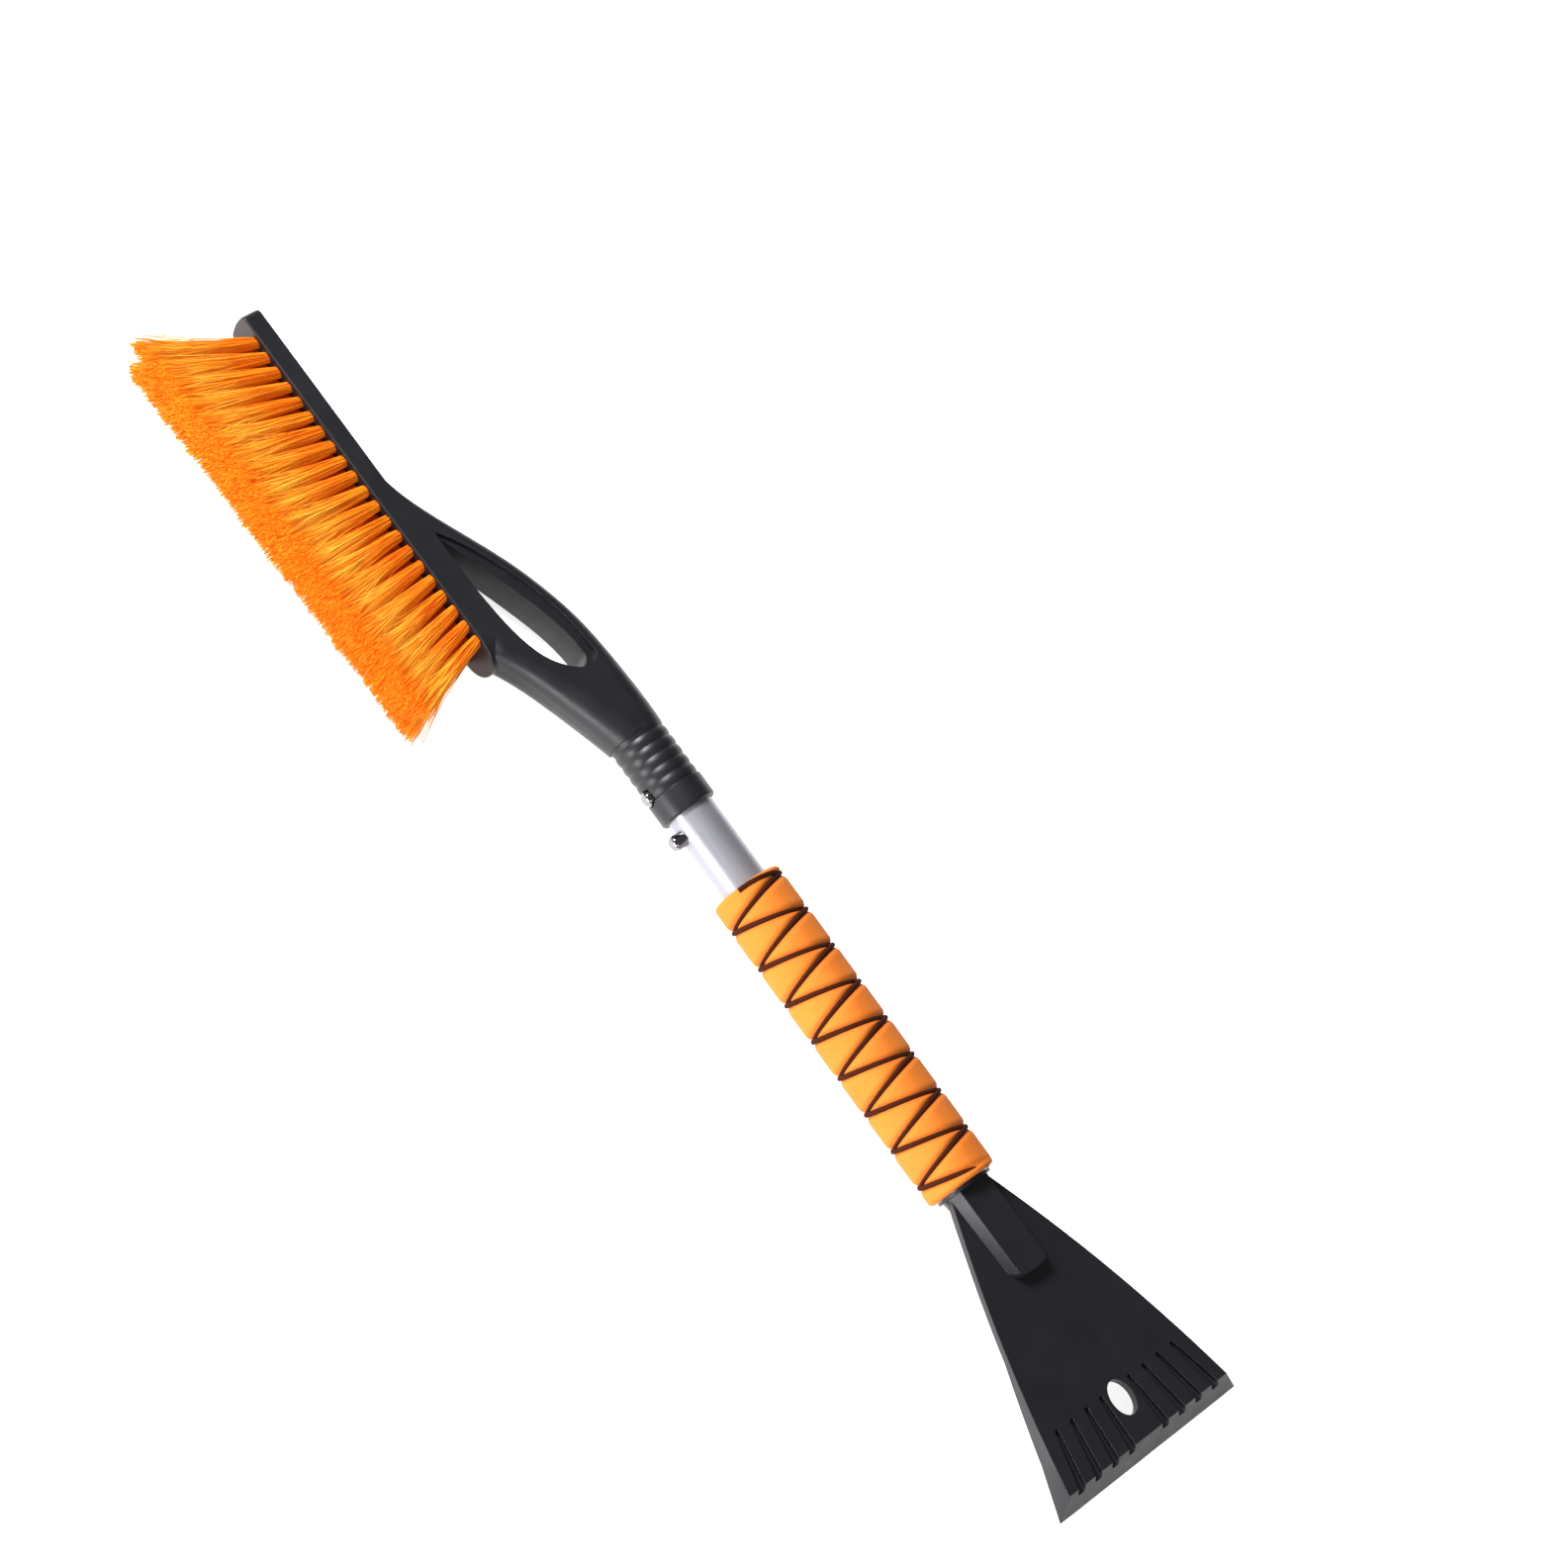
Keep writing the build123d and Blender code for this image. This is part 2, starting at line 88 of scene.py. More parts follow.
def make_mesh(name, points, faces, material, values=None, uvs=None):
    """A mesh object from points in millimetres, with named float values and uvs per point."""
    mesh = bpy.data.meshes.new(name)
    faces = np.asarray(faces, np.int32)
    points = np.asarray(points, float) * MM
    sides = faces.shape[1]
    mesh.vertices.add(len(points))
    mesh.vertices.foreach_set("co", points.astype(np.float32).ravel())
    mesh.loops.add(faces.size)
    mesh.loops.foreach_set("vertex_index", faces.ravel())
    mesh.polygons.add(len(faces))
    mesh.polygons.foreach_set("loop_start", np.arange(0, faces.size, sides, dtype=np.int32))
    mesh.polygons.foreach_set("loop_total", np.full(len(faces), sides, np.int32))
    for key, data in (values or {}).items():
        attribute = mesh.attributes.new(key, "FLOAT", "POINT")
        attribute.data.foreach_set("value", np.asarray(data, np.float32))
    if uvs is not None:
        layer = mesh.uv_layers.new(name="UVMap")
        layer.data.foreach_set("uv", np.asarray(uvs, np.float32)[faces.ravel()].ravel())
    mesh.update(calc_edges=True)
    mesh.polygons.foreach_set("use_smooth", np.full(len(faces), True))
    mesh.validate()
    mesh.materials.append(material)
    piece = bpy.data.objects.new(name, mesh)
    bpy.context.scene.collection.objects.link(piece)
    return piece


def tube_along(centres, radius, sides):
    """Points, quads, and (length, turn) pairs of a tube along a line of centres, with open ends."""
    tangent = np.gradient(centres, axis=0)
    tangent /= np.linalg.norm(tangent, axis=1)[:, None]
    across = np.cross(tangent, [1.0, 0.0, 0.0])
    across /= np.linalg.norm(across, axis=1)[:, None]
    other = np.cross(tangent, across)
    turn = np.linspace(0, 2 * math.pi, sides, endpoint=False)
    ring = np.cos(turn)[None, :, None] * across[:, None] + np.sin(turn)[None, :, None] * other[:, None]
    points = centres[:, None] + ring * radius
    run = np.concatenate([[0], np.cumsum(np.linalg.norm(np.diff(centres, axis=0), axis=1))])
    place = np.stack(np.meshgrid(run, turn, indexing="ij"), -1).reshape(-1, 2)
    return points.reshape(-1, 3), grid_faces(len(centres), sides), place


def grid_faces(rows, columns):
    """Quads of a grid of points stored row by row. The last column joins the first."""
    row, column = np.meshgrid(np.arange(rows - 1), np.arange(columns), indexing="ij")
    following = (column + 1) % columns
    here = row * columns
    corners = [here + column, here + following, here + columns + following, here + columns + column]
    return np.stack(corners, -1).reshape(-1, 4)


# ---- materials -----------------------------------------------------------------------------
class Recipe:
    """Builds one procedural material. Textures use the piece's own coordinates, in metres."""

    def __init__(self, name, **sockets):
        self.material = bpy.data.materials.new(name)
        self.material.use_nodes = True
        self.tree = self.material.node_tree
        self.shader = next(n for n in self.tree.nodes if n.type == "BSDF_PRINCIPLED")
        self.place = self.add("ShaderNodeTexCoord").outputs["Object"]
        for socket, value in sockets.items():
            self.shader.inputs[socket.replace("_", " ")].default_value = value

    def add(self, kind, links=None, **settings):
        """Add a node. links maps an input to a socket or a plain value."""
        node = self.tree.nodes.new(kind)
        for key, value in settings.items():
            setattr(node, key, value)
        for key, value in (links or {}).items():
            if isinstance(value, bpy.types.NodeSocket):
                self.tree.links.new(value, node.inputs[key])
            else:
                node.inputs[key].default_value = value
        return node

    def stretched(self, scale):
        """The piece's coordinates, scaled by axis."""
        return self.add("ShaderNodeMapping", {"Vector": self.place, "Scale": scale}).outputs["Vector"]

    def noise(self, scale, detail=3.0, vector=None):
        """Cloudy noise from 0 to 1."""
        links = {"Vector": vector or self.place, "Scale": scale, "Detail": detail}
        return self.add("ShaderNodeTexNoise", links).outputs["Fac"]

    def cells(self, scale):
        """Distance to the nearest cell centre."""
        links = {"Vector": self.place, "Scale": scale}
        return self.add("ShaderNodeTexVoronoi", links).outputs["Distance"]

    def span(self, value, low, high, to_low, to_high):
        """Map a value from one range to another."""
        links = {"Value": value, "From Min": low, "From Max": high, "To Min": to_low, "To Max": to_high}
        return self.add("ShaderNodeMapRange", links).outputs["Result"]

    def math(self, operation, first, second=0.0):
        """One step of arithmetic."""
        return self.add("ShaderNodeMath", {0: first, 1: second}, operation=operation).outputs["Value"]

    def blend(self, share, first, second):
        """A colour between two colours."""
        node = self.add("ShaderNodeMix", data_type="RGBA")
        for index, value in ((0, share), (6, first), (7, second)):
            if isinstance(value, bpy.types.NodeSocket):
                self.tree.links.new(value, node.inputs[index])
            else:
                node.inputs[index].default_value = value
        return node.outputs[2]

    def value(self, name):
        """A named float stored on the mesh."""
        return self.add("ShaderNodeAttribute", attribute_name=name).outputs["Fac"]

    def feed(self, socket, output):
        """Drive one of the shader's sockets."""
        self.tree.links.new(output, self.shader.inputs[socket])

    def bump(self, height, distance, strength=1.0, normal=None):
        """Raise the surface by height, in metres, and return the bumped normal."""
        links = {"Height": height, "Distance": distance, "Strength": strength}
        if normal is not None:
            links["Normal"] = normal
        return self.add("ShaderNodeBump", links).outputs["Normal"]


def rgb(red, green, blue):
    """A colour with full alpha."""
    return (red, green, blue, 1.0)


def black_plastic():
    """Satin moulded plastic: a fine etched grain, faint flow marks, and softened edges."""
    r = Recipe("black_plastic", Specular_IOR_Level=0.36)
    cloud = r.noise(35.0, 4.0)
    r.feed("Base Color", r.blend(cloud, rgb(0.009, 0.009, 0.011), rgb(0.015, 0.015, 0.019)))
    r.feed("Roughness", r.span(r.noise(90.0, 5.0), 0.3, 0.7, 0.36, 0.46))
    edge = r.add("ShaderNodeBevel", {"Radius": 0.6 * MM}, samples=4).outputs["Normal"]
    r.feed("Normal", r.bump(r.noise(3200.0, 2.0), 0.02 * MM, 0.5, edge))
    return r.material


def bristle_plastic():
    """Nylon filaments, each with its own tone. Painted light and shade: paler in the middle of their
    length, darker at the roots and the cut tips, painted shade at the roots of the rows behind, and a
    faint painted glow.
    """
    r = Recipe("bristle", Roughness=0.45, Specular_IOR_Level=0.35)
    shade = r.value("shade")
    # along paints light and shade on each filament: darker near the roots and at the cut tips, paler in
    # between where light falls on the spread filaments.
    along = r.value("along")
    base = r.blend(shade, rgb(0.86, 0.13, 0.001), rgb(1.0, 0.40, 0.015))
    pale = r.blend(shade, rgb(1.0, 0.33, 0.006), rgb(1.0, 0.64, 0.08))
    painted_light_along = r.blend(along, base, pale)
    # Painted shade: near the roots, most in the middle row, the colour darkens to deep red, for the
    # little light that reaches inside the brush.
    colour = r.blend(r.value("painted_root_shade"), painted_light_along, rgb(0.42, 0.03, 0.0005))
    r.feed("Base Color", colour)
    # The filaments glow faintly in their own colour, painted shade included: a painted glow standing in
    # for light that passes through the nylon.
    r.feed("Emission Color", colour)
    r.shader.inputs["Emission Strength"].default_value = 0.14
    return r.material


def foam_rubber():
    """Closed-cell foam: small cells, a slightly mottled colour, painted shade in the grooves where the
    cords press in, and a soft, dry surface.
    """
    r = Recipe("foam", Roughness=0.78, Specular_IOR_Level=0.25)
    clouds = r.math("MULTIPLY", r.noise(60.0, 3.0), 0.6)
    specks = r.math("MULTIPLY", r.noise(700.0, 2.0), 0.4)
    skin = r.blend(r.math("ADD", clouds, specks), rgb(0.70, 0.155, 0.012), rgb(0.78, 0.235, 0.028))
    # Painted shade: where the cords press the foam in, its colour darkens towards deep red-orange, most
    # under the cords.
    pressed = r.value("pressed")
    r.feed("Base Color", r.blend(pressed, skin, rgb(0.62, 0.09, 0.004)))
    pores = r.bump(r.cells(1500.0), 0.12 * MM, 0.5)
    r.feed("Normal", r.bump(r.noise(260.0, 3.0), 0.25 * MM, 0.35, pores))
    return r.material


def braided_cord():
    """Dark braided cord: two sets of strands that cross. The weave's phase, in radians, grows with
    each millimetre along the cord and with each radian round it."""
    r = Recipe("cord", Roughness=0.85, Specular_IOR_Level=0.05)
    phase_along = 5.2
    phase_round = 4.0
    uv = r.add("ShaderNodeUVMap", uv_map="UVMap").outputs["UV"]
    split = r.add("ShaderNodeSeparateXYZ", {"Vector": uv})
    along = r.math("MULTIPLY", split.outputs["X"], phase_along)
    strands = []
    for sign in (1.0, -1.0):
        around = r.math("MULTIPLY", split.outputs["Y"], phase_round * sign)
        strands.append(r.math("ABSOLUTE", r.math("SINE", r.math("ADD", along, around))))
    weave = r.math("MAXIMUM", *strands)
    r.feed("Base Color", r.blend(weave, rgb(0.018, 0.004, 0.0015), rgb(0.055, 0.014, 0.006)))
    r.feed("Normal", r.bump(weave, 0.15 * MM, 0.9))
    return r.material


def satin_aluminium():
    """Anodised tube: fine drawing lines along it and a soft sheen."""
    r = Recipe("tube_aluminium", Metallic=0.5)
    lines = r.noise(1.0, 2.0, r.stretched((14.0, 2600.0, 2600.0)))
    r.feed("Base Color", r.blend(r.noise(40.0), rgb(0.30, 0.30, 0.34), rgb(0.35, 0.35, 0.39)))
    r.feed("Roughness", r.span(lines, 0.3, 0.7, 0.3, 0.42))
    r.feed("Normal", r.bump(lines, 0.01 * MM, 0.35))
    return r.material


def bright_metal(name, colour, smoothest, roughest):
    """Bare or plated metal with fine wear, a fifth darker where it is worn."""
    r = Recipe(name, Metallic=1.0)
    wear = r.noise(900.0, 4.0)
    r.feed("Base Color", r.blend(wear, colour, rgb(*[c * 0.8 for c in colour[:3]])))
    r.feed("Roughness", r.span(wear, 0.3, 0.7, smoothest, roughest))
    r.feed("Normal", r.bump(r.noise(2500.0, 2.0), 0.004 * MM, 0.3))
    return r.material


def pale_floor():
    """Plain pale studio floor."""
    r = Recipe("floor", Roughness=0.9, Specular_IOR_Level=0.1)
    r.feed("Base Color", r.blend(r.noise(1.5, 1.0), rgb(0.93, 0.93, 0.93), rgb(0.95, 0.95, 0.95)))
    r.shader.inputs["Emission Color"].default_value = rgb(1, 1, 1)
    r.shader.inputs["Emission Strength"].default_value = 0.78
    return r.material


PLASTIC = black_plastic()
BRISTLE = bristle_plastic()
FOAM = foam_rubber()
CORD = braided_cord()
ALUMINIUM = satin_aluminium()
CHROME = bright_metal("button_metal", rgb(0.34, 0.33, 0.35), 0.08, 0.16)
SPRING_STEEL = bright_metal("spring_steel", rgb(0.5, 0.5, 0.52), 0.3, 0.45)
ANCHOR_WIRE = bright_metal("anchor_wire", rgb(0.6, 0.6, 0.6), 0.3, 0.45)


CAD_FINISHES = {
    "brush_head": PLASTIC,
    "scraper_head": PLASTIC,
    "handle_tube": ALUMINIUM,
    "upper_lock_button": CHROME,
    "lower_lock_button": CHROME,
    "upper_button_spring": SPRING_STEEL,
    "lower_button_spring": SPRING_STEEL,
    "scraper_rivet": SPRING_STEEL,
    "near_tuft_anchors": ANCHOR_WIRE,
    "middle_tuft_anchors": ANCHOR_WIRE,
    "far_tuft_anchors": ANCHOR_WIRE,
}

for node, material in CAD_FINISHES.items():
    NODES[node].data.materials.clear()
    NODES[node].data.materials.append(material)


# ---- bristles ------------------------------------------------------------------------------
BLOCK_FACE_Y = -44.4
BLOCK_TIP_X, BLOCK_END_X = -317.5, -106.0
TUFTS_PER_ROW = 21
FIRST_TUFT_X = -302.0
TUFT_PITCH = 8.97
TUFT_RADIUS = 2.9
TUFT_DEPTH = 3.0

# Pairs are values at the brush's free end and at its end near the hand hole.
ROW_Z = (4.6, 9.2)
BRUSH_TIP_X = (-324.0, -102.0)
TIP_Y = (-99.0, -92.0)
FAN_HALF = (15.8, 18.6)

FILAMENTS = {"near": 300, "middle": 200, "far": 260}
FILAMENT_RADIUS = 0.2
FILAMENT_SIDES = 3
FILAMENT_STEPS = 6
STEP_BUNCHING = 1.15

# How a bundle opens: it swells near its hole, then fans out and mixes with its neighbours.
BULGE_SHARE = 0.14
BULGE_LENGTH = 0.5
EVEN_FAN = 0.2
FAN_POWER = 2.4
MERGE_SPREAD = (2.6, 1.5)
BEND = 0.5
STRAY_SHARE = 0.012
STRAY_REACH = 3.0

# How unevenly the tips are cut. Some filaments are broken off short.
FILAMENT_TRIM = 0.9
TUFT_TRIM = 0.6
TRIM_OVERHANG = 0.5
SHORT_SHARE = 0.15
SHORT_BY = 5

# The tufts at the free end lean out. END_SPLAY is how far along X, and how much longer.
END_SPLAY = (9.0, 4.5)
END_SPLAY_REACH = 14.0
END_SPLAY_RANGE = (0.2, 1)
ROW_SPLAY = {"near": 1.2, "middle": 0.5, "far": 0.2}

# The space that the bristles stay in, past the ends of the tips and to each side.
BRUSH_OVERHANG = (12.0, 8.0)
BRUSH_HALF_WIDTH = 18.4

# Painted light and shade along a filament: paler in the middle, darker at the roots and at the cut
# tips, and painted shade at the roots of the rows behind. A pair is where a change starts and how long
# it takes.
PAINTED_LIGHT_START = (0.3, 0.45)
PAINTED_LIGHT_END = (0.84, 0.12)
PAINTED_LIGHT_LOSS = 0.95
# Painted shade at the roots, strongest in the middle row, and where along the filament it fades out.
PAINTED_ROOT_SHADE_BY_ROW = {"near": 0.1, "middle": 0.85, "far": 0.45}
PAINTED_ROOT_SHADE_FADE = (0.15, 0.4)


def tufts_in(row):
    """The middle row, row 0, sits between the other two and has one tuft fewer."""
    return TUFTS_PER_ROW - (row == 0)


def tuft_ends(row, index):
    """A tuft's place on the block, its place at the tips, and its half sizes there, in X and Z."""
    first_x = FIRST_TUFT_X + (TUFT_PITCH / 2 if row == 0 else 0)
    base_x = first_x + index * TUFT_PITCH
    centre = first_x + (tufts_in(row) - 1) * TUFT_PITCH / 2
    stretch = (BRUSH_TIP_X[1] - BRUSH_TIP_X[0]) / (TUFTS_PER_ROW * TUFT_PITCH)
    tip_x = sum(BRUSH_TIP_X) / 2 + (base_x - centre) * stretch
    base_z = row * mix(*ROW_Z, (base_x - BLOCK_TIP_X) / (BLOCK_END_X - BLOCK_TIP_X))
    share = (tip_x - BRUSH_TIP_X[0]) / (BRUSH_TIP_X[1] - BRUSH_TIP_X[0])
    fan = mix(*FAN_HALF, share)
    base = np.array([base_x, BLOCK_FACE_Y + TUFT_DEPTH, base_z])
    tip = np.array([tip_x, mix(*TIP_Y, share), row * fan * 2 / 3])
    return base, tip, (TUFT_PITCH * stretch / 2, fan / 3)


def filament_steps():
    """Shares of a filament's length, a little closer together near its hole."""
    return np.linspace(0, 1, FILAMENT_STEPS) ** STEP_BUNCHING


def filaments(base, tip, half_sizes, count, row_splay):
    """Centre lines of one tuft's filaments, as (filament, step, xyz).

    They leave the hole as a round bundle, swell a little, and spread into the neighbouring tufts.
    """
    radius = np.sqrt(RANDOM.uniform(0, 1, count))
    angle = RANDOM.uniform(0, 2 * math.pi, count)
    round_place = np.stack([radius * np.cos(angle), radius * np.sin(angle)], -1)
    start = round_place * (TUFT_RADIUS - FILAMENT_RADIUS)
    merged = RANDOM.normal(0, 1, (count, 2)) * MERGE_SPREAD
    stray = RANDOM.uniform(0, 1, (count, 1)) < STRAY_SHARE
    merged = np.where(stray, merged * STRAY_REACH, merged)
    end = round_place * half_sizes + merged
    at_free_end = np.clip(1 - (tip[0] - BRUSH_TIP_X[0]) / END_SPLAY_REACH, 0, 1)
    splay = at_free_end * RANDOM.uniform(*END_SPLAY_RANGE, count) * row_splay
    end[:, 0] -= splay * END_SPLAY[0]
    trim = np.abs(RANDOM.normal(0, FILAMENT_TRIM, count)) - TRIM_OVERHANG
    trim += RANDOM.uniform(-TUFT_TRIM, TUFT_TRIM) - splay * END_SPLAY[1]
    trim += np.where(RANDOM.uniform(0, 1, count) < SHORT_SHARE, RANDOM.uniform(0, SHORT_BY, count), 0)
    step = filament_steps()
    swell = np.sin(math.pi * np.clip(step / BULGE_LENGTH, 0, 1)) * BULGE_SHARE
    fan = (EVEN_FAN * step + (1 - EVEN_FAN) * step**FAN_POWER)[None, :, None]
    flat = start[:, None] * (1 - fan + swell[None, :, None]) + end[:, None] * fan
    flat += RANDOM.normal(0, BEND, (count, 1, 2)) * np.sin(math.pi * step)[None, :, None]
    line = base + (tip - base) * step[None, :, None] + np.zeros((count, 1, 1))
    line[:, :, [0, 2]] += flat
    line[:, :, 1] += trim[:, None] * step[None, :]
    return line


def bristle_row(name, row):
    """All of a row's filaments as thin three-sided tubes in one mesh."""
    tufts = [tuft_ends(row, index) for index in range(tufts_in(row))]
    lines = np.concatenate([filaments(*tuft, FILAMENTS[name], ROW_SPLAY[name]) for tuft in tufts])
    lowest_x = BRUSH_TIP_X[0] - BRUSH_OVERHANG[0]
    highest_x = BRUSH_TIP_X[1] + BRUSH_OVERHANG[1]
    lines[..., 0] = np.clip(lines[..., 0], lowest_x, highest_x)
    lines[..., 2] = np.clip(lines[..., 2], -BRUSH_HALF_WIDTH, BRUSH_HALF_WIDTH)
    total = len(lines)
    turn = np.arange(FILAMENT_SIDES) * 2 * math.pi / FILAMENT_SIDES
    turn = turn + RANDOM.uniform(0, 2 * math.pi, (total, 1))
    ring = np.stack([np.cos(turn), np.zeros_like(turn), np.sin(turn)], -1) * FILAMENT_RADIUS
    points = (lines[:, :, None] + ring[:, None]).reshape(-1, 3)
    faces = grid_faces(FILAMENT_STEPS, FILAMENT_SIDES)
    first_point = np.arange(total) * FILAMENT_STEPS * FILAMENT_SIDES
    faces = (faces[None] + first_point[:, None, None]).reshape(-1, 4)
    step = filament_steps()
    # The first and the last of these are painted light and shade along each filament; the middle one is
    # each filament's own tone.
    shades = {
        "along": (ramp(step, *PAINTED_LIGHT_START) * (1 - PAINTED_LIGHT_LOSS * ramp(step, *PAINTED_LIGHT_END)))[None, :, None],
        "shade": RANDOM.uniform(0, 1, total)[:, None, None],
        "painted_root_shade": (PAINTED_ROOT_SHADE_BY_ROW[name] * (1 - ramp(step, *PAINTED_ROOT_SHADE_FADE)))[None, :, None],
    }
    grid = (total, FILAMENT_STEPS, FILAMENT_SIDES)
    values = {key: np.broadcast_to(value, grid).ravel() for key, value in shades.items()}
    piece = make_mesh(f"{name}_bristles", points, faces, BRISTLE, values=values)
    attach(piece, "head")
    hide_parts(f"{name}_tuft_row")


for name, row in {"near": 1, "middle": 0, "far": -1}.items():
    bristle_row(name, row)


# ---- grip ----------------------------------------------------------------------------------
FOAM_X = tuple(corner.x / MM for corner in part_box("foam_grip"))
FOAM_RADIUS = 18.6
FOAM_END_ROUND = 2.4
FOAM_RINGS = 440
FOAM_COLUMNS = 168
TUBE_RADIUS = 12.2

# Each cord runs straighter across the top and the underside than a plain coil.
CORD_PITCH = 21.3
CORD_START_X = 49.3
CORD_START_ANGLE = math.radians(30)
CORD_TURNS = 7.92
CORD_RADIUS = 1.25
CORD_COIL_RADIUS = 16.8
CORD_STRAIGHTNESS = 0.6
CORD_LIFT = 0.55
CORD_SIDES = 12
CORD_STEPS_PER_TURN = 72

# A cord's lead runs round the foam's end first. It lies further back and further out than the coil.
LEFT_HAND_LEAD = 0.28
LEAD_BACK = 2.8
LEAD_BACK_TURNS = 0.25
LEAD_RISE = 1.6
LEAD_RISE_TURNS = 0.12

# How the cords press into the foam. A pair is where it begins, from an end, and over what length.
PRESS_DEPTH = 2.6
PRESS_REACH = 4.4
PRESS_ROUND = 2.2
PRESS_NEAREST = 0.6
PRESS_FIRST_END = (1.5, 5.0)
PRESS_LAST_END = (1.0, 4.0)


def cord_advance(turns):
    """How many pitches a cord has moved along after some turns."""
    half_turns = np.floor(2 * turns)
    share = 2 * turns - half_turns
    straight = (1 - np.cos(math.pi * share)) / 2
    return (half_turns + mix(share, straight, CORD_STRAIGHTNESS)) / 2


def cord_distance(x, angle, hand):
    """Distance over the foam's surface from a place to the nearest turn of one cord."""
    turned = cord_advance(hand * (angle - CORD_START_ANGLE) / (2 * math.pi))
    along = (x - CORD_START_X) / CORD_PITCH - turned
    along -= np.round(along)
    slope = math.atan2(CORD_PITCH, 2 * math.pi * CORD_COIL_RADIUS)
    return np.abs(along) * CORD_PITCH * math.cos(slope)


def foam_rim(ring):
    """A ring at the foam's end, drawn in to the tube."""
    rim = ring.copy()
    rim[:, 1:] *= TUBE_RADIUS / np.linalg.norm(rim[:, 1:], axis=1)[:, None]
    return rim[None]


def foam_grip():
    """The foam tube, squeezed by the two cords into rounded lozenges."""
    x = np.linspace(*FOAM_X, FOAM_RINGS)
    angle = np.linspace(0, 2 * math.pi, FOAM_COLUMNS, endpoint=False)
    x, angle = np.meshgrid(x, angle, indexing="ij")
    distances = [cord_distance(x, angle, hand) for hand in (1, -1)]
    rise = [1 - (1 - np.clip(distance / PRESS_REACH, 0, 1)) ** PRESS_ROUND for distance in distances]
    lift = np.minimum(*rise) * PRESS_NEAREST + rise[0] * rise[1] * (1 - PRESS_NEAREST)
    inside = ramp(x - FOAM_X[0], *PRESS_FIRST_END) * ramp(FOAM_X[1] - x, *PRESS_LAST_END)
    pressed = (1 - lift) * inside
    radius = FOAM_RADIUS - PRESS_DEPTH * pressed
    gap = np.minimum(x - FOAM_X[0], FOAM_X[1] - x)
    shoulder = np.clip(1 - gap / FOAM_END_ROUND, 0, 1)
    radius -= FOAM_END_ROUND * (1 - np.sqrt(1 - shoulder**2))
    outer = np.stack([x, radius * np.cos(angle), radius * np.sin(angle)], -1)
    points = np.concatenate([foam_rim(outer[0]), outer, foam_rim(outer[-1])])
    pressed = np.concatenate([pressed[:1], pressed, pressed[-1:]])
    faces = grid_faces(len(points), FOAM_COLUMNS)
    # How far the foam is pressed in also sets the painted shade in its grooves.
    values = {"pressed": pressed.ravel()}
    return make_mesh("foam_sleeve", points.reshape(-1, 3), faces, FOAM, values=values)


def grip_cord(name, hand, node, lead):
    """One cord, wound round the foam. At each crossing one cord dips under the other in turn.

    lead is how many turns it runs round the foam's end before it starts to wind along it.
    """
    turns = np.linspace(-lead, CORD_TURNS, int((CORD_TURNS + lead) * CORD_STEPS_PER_TURN))
    angle = CORD_START_ANGLE + hand * turns * 2 * math.pi
    over = np.cos(turns * 2 * math.pi) * hand
    before = np.clip(-turns, 0, None)
    radius = CORD_COIL_RADIUS + CORD_LIFT * over + LEAD_RISE * smooth(before / LEAD_RISE_TURNS)
    x = CORD_START_X + cord_advance(np.clip(turns, 0, None)) * CORD_PITCH
    x -= LEAD_BACK * smooth(before / LEAD_BACK_TURNS)
    line = np.stack([x, radius * np.cos(angle), radius * np.sin(angle)], -1)
    points, faces, place = tube_along(line, CORD_RADIUS, CORD_SIDES)
    piece = make_mesh(name, points, faces, CORD, uvs=place)
    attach(piece, "handle")
    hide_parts(node)


foam = foam_grip()
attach(foam, "handle")
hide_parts("foam_grip")
grip_cord("right_hand_grip_cord", 1, "right_hand_cord", 0.0)
grip_cord("left_hand_grip_cord", -1, "left_hand_cord", LEFT_HAND_LEAD)


def folding_spring(name):
    """A copy of a button's folded spring strip, with its own mesh, on the handle. The real strip closes
    up as the button is pressed; this copy keeps its shape.
    """
    node = f"{name}_button_spring"
    piece = bpy.data.objects.new(f"{name}_folded_spring", NODES[node].data.copy())
    bpy.context.scene.collection.objects.link(piece)
    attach(piece, "handle")
    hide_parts(node)
    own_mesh(piece)


for name in ("upper", "lower"):
    folding_spring(name)


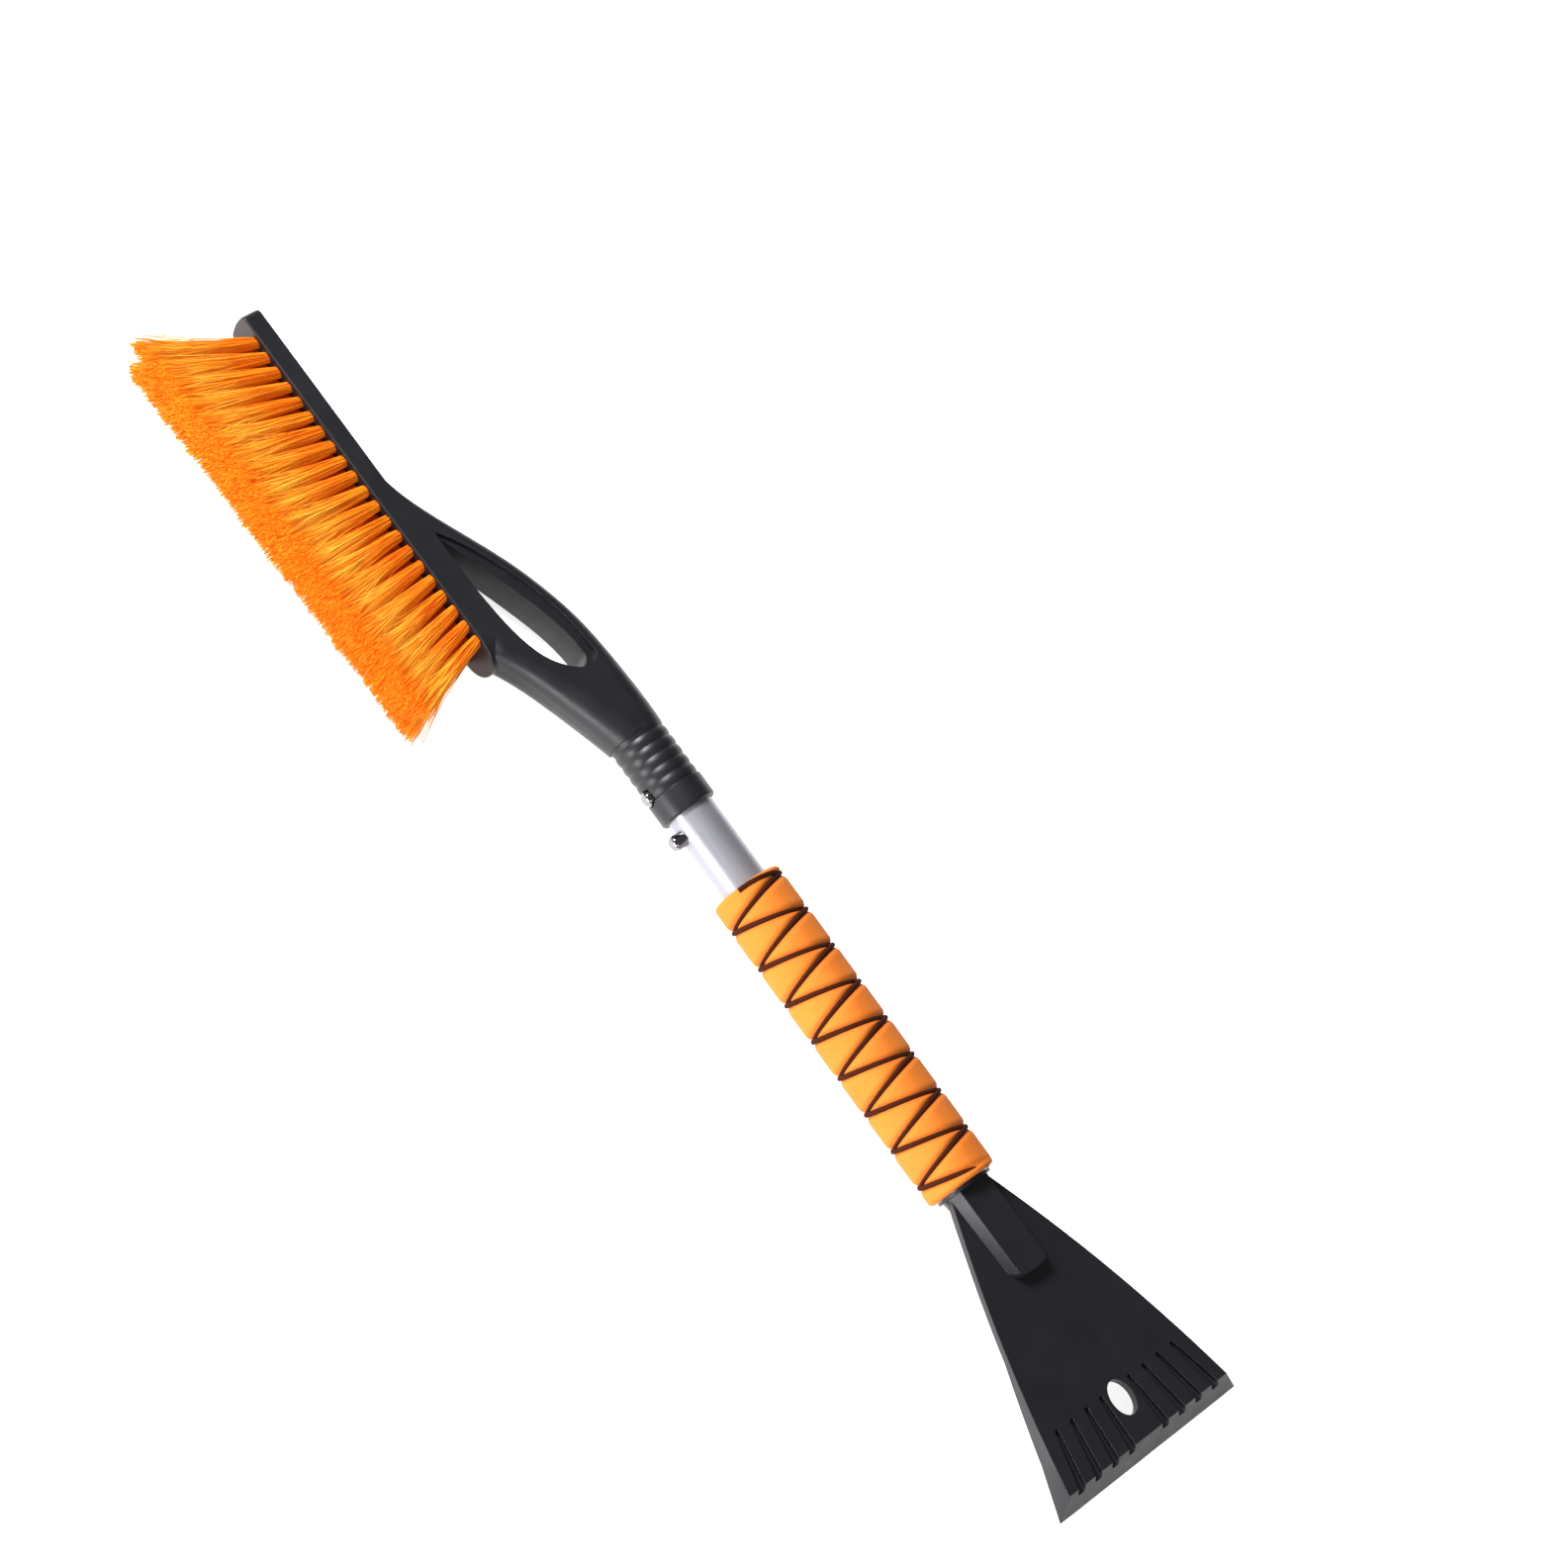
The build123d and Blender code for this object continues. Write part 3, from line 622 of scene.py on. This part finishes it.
# ---- camera, floor and light -----------------------------------------------------------------
# The camera and the lights are placed in metres. The lens, sensor and floor are in millimetres.
CAMERA_PLACE = (0.250, -0.99216, 1.71847)
CAMERA_TARGET = (0.0131, 0.0514, 0.0)
CAMERA_UP = (-0.80048, 0.45695, 0.38785)
CAMERA_LENS = 96.22
SENSOR_WIDTH = 36.0
CAMERA_REACH = (0.1, 20.0)
FLOOR_HALF = 6000.0
FLOOR_GAP = 0.1
SKY_STRENGTH = 0.13

# Place, target, width, height (metres) and power (watts) of each light.
LIGHTS = {
    "low_key": ((0.35, -2.1, 0.24), (0, 0, 0), 1.5, 0.32, 46.0),
    "high_key": ((-1.9, -0.9, 1.7), (-0.1, 0, 0), 0.9, 0.9, 126.0),
    "side_fill": ((1.7, -0.7, 1.3), (0, 0, 0), 0.9, 0.9, 10.0),
}


def aim(thing, place, target, up=(0, 0, 1)):
    """Put an object at a place, looking at a target."""
    back = (Vector(place) - Vector(target)).normalized()
    right = Vector(up).cross(back).normalized()
    turn = Matrix((right, back.cross(right), back)).transposed()
    thing.matrix_world = Matrix.Translation(Vector(place)) @ turn.to_4x4()


def soft_light(name, place, target, width, height, power):
    """A large rectangular studio light."""
    data = bpy.data.lights.new(name, "AREA")
    data.shape = "RECTANGLE"
    data.size = width
    data.size_y = height
    data.energy = power
    lamp = bpy.data.objects.new(name, data)
    bpy.context.scene.collection.objects.link(lamp)
    aim(lamp, place, target)


camera_data = bpy.data.cameras.new("camera")
camera_data.lens = CAMERA_LENS
camera_data.sensor_width = SENSOR_WIDTH
camera_data.clip_start, camera_data.clip_end = CAMERA_REACH
camera = bpy.data.objects.new("camera", camera_data)
bpy.context.scene.collection.objects.link(camera)
aim(camera, CAMERA_PLACE, CAMERA_TARGET, CAMERA_UP)
bpy.context.scene.camera = camera

floor_z = CAD_BOX[0].z / MM - FLOOR_GAP
corners = [(x * FLOOR_HALF, y * FLOOR_HALF, floor_z) for x, y in ((-1, -1), (1, -1), (1, 1), (-1, 1))]
floor = make_mesh("floor", corners, [(0, 1, 2, 3)], pale_floor())

world = bpy.data.worlds.new("studio")
bpy.context.scene.world = world
world.use_nodes = True
sky = world.node_tree.nodes["Background"]
sky.inputs["Color"].default_value = rgb(1.0, 1.0, 1.0)
sky.inputs["Strength"].default_value = SKY_STRENGTH
for name, light in LIGHTS.items():
    soft_light(name, *light)
bpy.context.scene.view_settings.view_transform = "Standard"
